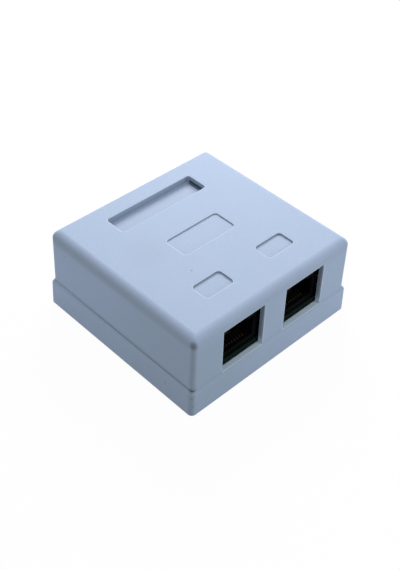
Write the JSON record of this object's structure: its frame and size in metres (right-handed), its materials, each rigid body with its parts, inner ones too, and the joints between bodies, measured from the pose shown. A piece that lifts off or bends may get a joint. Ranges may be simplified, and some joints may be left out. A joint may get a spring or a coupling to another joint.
{
  "type": "ethernet outlet box",
  "caption": "Surface-mounted ethernet outlet box: a lift-off cover with two side-facing modular sockets on a low screw-down base with a wired board inside.",
  "frame": {"origin": "middle of the base's underside, the face that goes against the wall or desk", "axes": "+Z out of the wall or desk, up through the cover; the sockets face -Y; +X to the right as the sockets are looked at"},
  "size_m": [0.064, 0.0616, 0.0276],
  "materials": {
    "shell_plastic": "fine spark-eroded moulded ABS, bluish white",
    "jack_plastic": "black glass-filled moulding, semi-gloss",
    "board_laminate": "green solder mask over glass laminate",
    "block_plastic": "pale grey-white moulding",
    "gold_contact": "gold-plated spring bronze",
    "tinned_contact": "tinned bronze",
    "screw_steel": "zinc-plated steel"
  },
  "bodies": {
    "base": {"base": "shell_plastic", "circuit_board": "board_laminate", "jack_housing_left": "jack_plastic", "jack_insert_left": "jack_plastic", "jack_contact_left_1": "gold_contact", "jack_contact_left_2": "gold_contact", "jack_contact_left_3": "gold_contact", "jack_contact_left_4": "gold_contact", "jack_contact_left_5": "gold_contact", "jack_contact_left_6": "gold_contact", "jack_contact_left_7": "gold_contact", "jack_contact_left_8": "gold_contact", "jack_housing_right": "jack_plastic", "jack_insert_right": "jack_plastic", "jack_contact_right_1": "gold_contact", "jack_contact_right_2": "gold_contact", "jack_contact_right_3": "gold_contact", "jack_contact_right_4": "gold_contact", "jack_contact_right_5": "gold_contact", "jack_contact_right_6": "gold_contact", "jack_contact_right_7": "gold_contact", "jack_contact_right_8": "gold_contact", "wire_block_1": "block_plastic", "wire_contact_1_1": "tinned_contact", "wire_contact_1_2": "tinned_contact", "wire_contact_1_3": "tinned_contact", "wire_contact_1_4": "tinned_contact", "wire_block_2": "block_plastic", "wire_contact_2_1": "tinned_contact", "wire_contact_2_2": "tinned_contact", "wire_contact_2_3": "tinned_contact", "wire_contact_2_4": "tinned_contact", "wire_block_3": "block_plastic", "wire_contact_3_1": "tinned_contact", "wire_contact_3_2": "tinned_contact", "wire_contact_3_3": "tinned_contact", "wire_contact_3_4": "tinned_contact", "wire_block_4": "block_plastic", "wire_contact_4_1": "tinned_contact", "wire_contact_4_2": "tinned_contact", "wire_contact_4_3": "tinned_contact", "wire_contact_4_4": "tinned_contact", "board_screw_1": "screw_steel", "board_screw_2": "screw_steel", "board_screw_3": "screw_steel", "board_screw_4": "screw_steel"},
    "cover": {"cover": "shell_plastic"}
  },
  "joints": [
    {"name": "cover_lift", "type": "slide", "parent": "base", "child": "cover", "axis": [0, 0, 1], "range_m": [0, 0.03]}
  ]
}
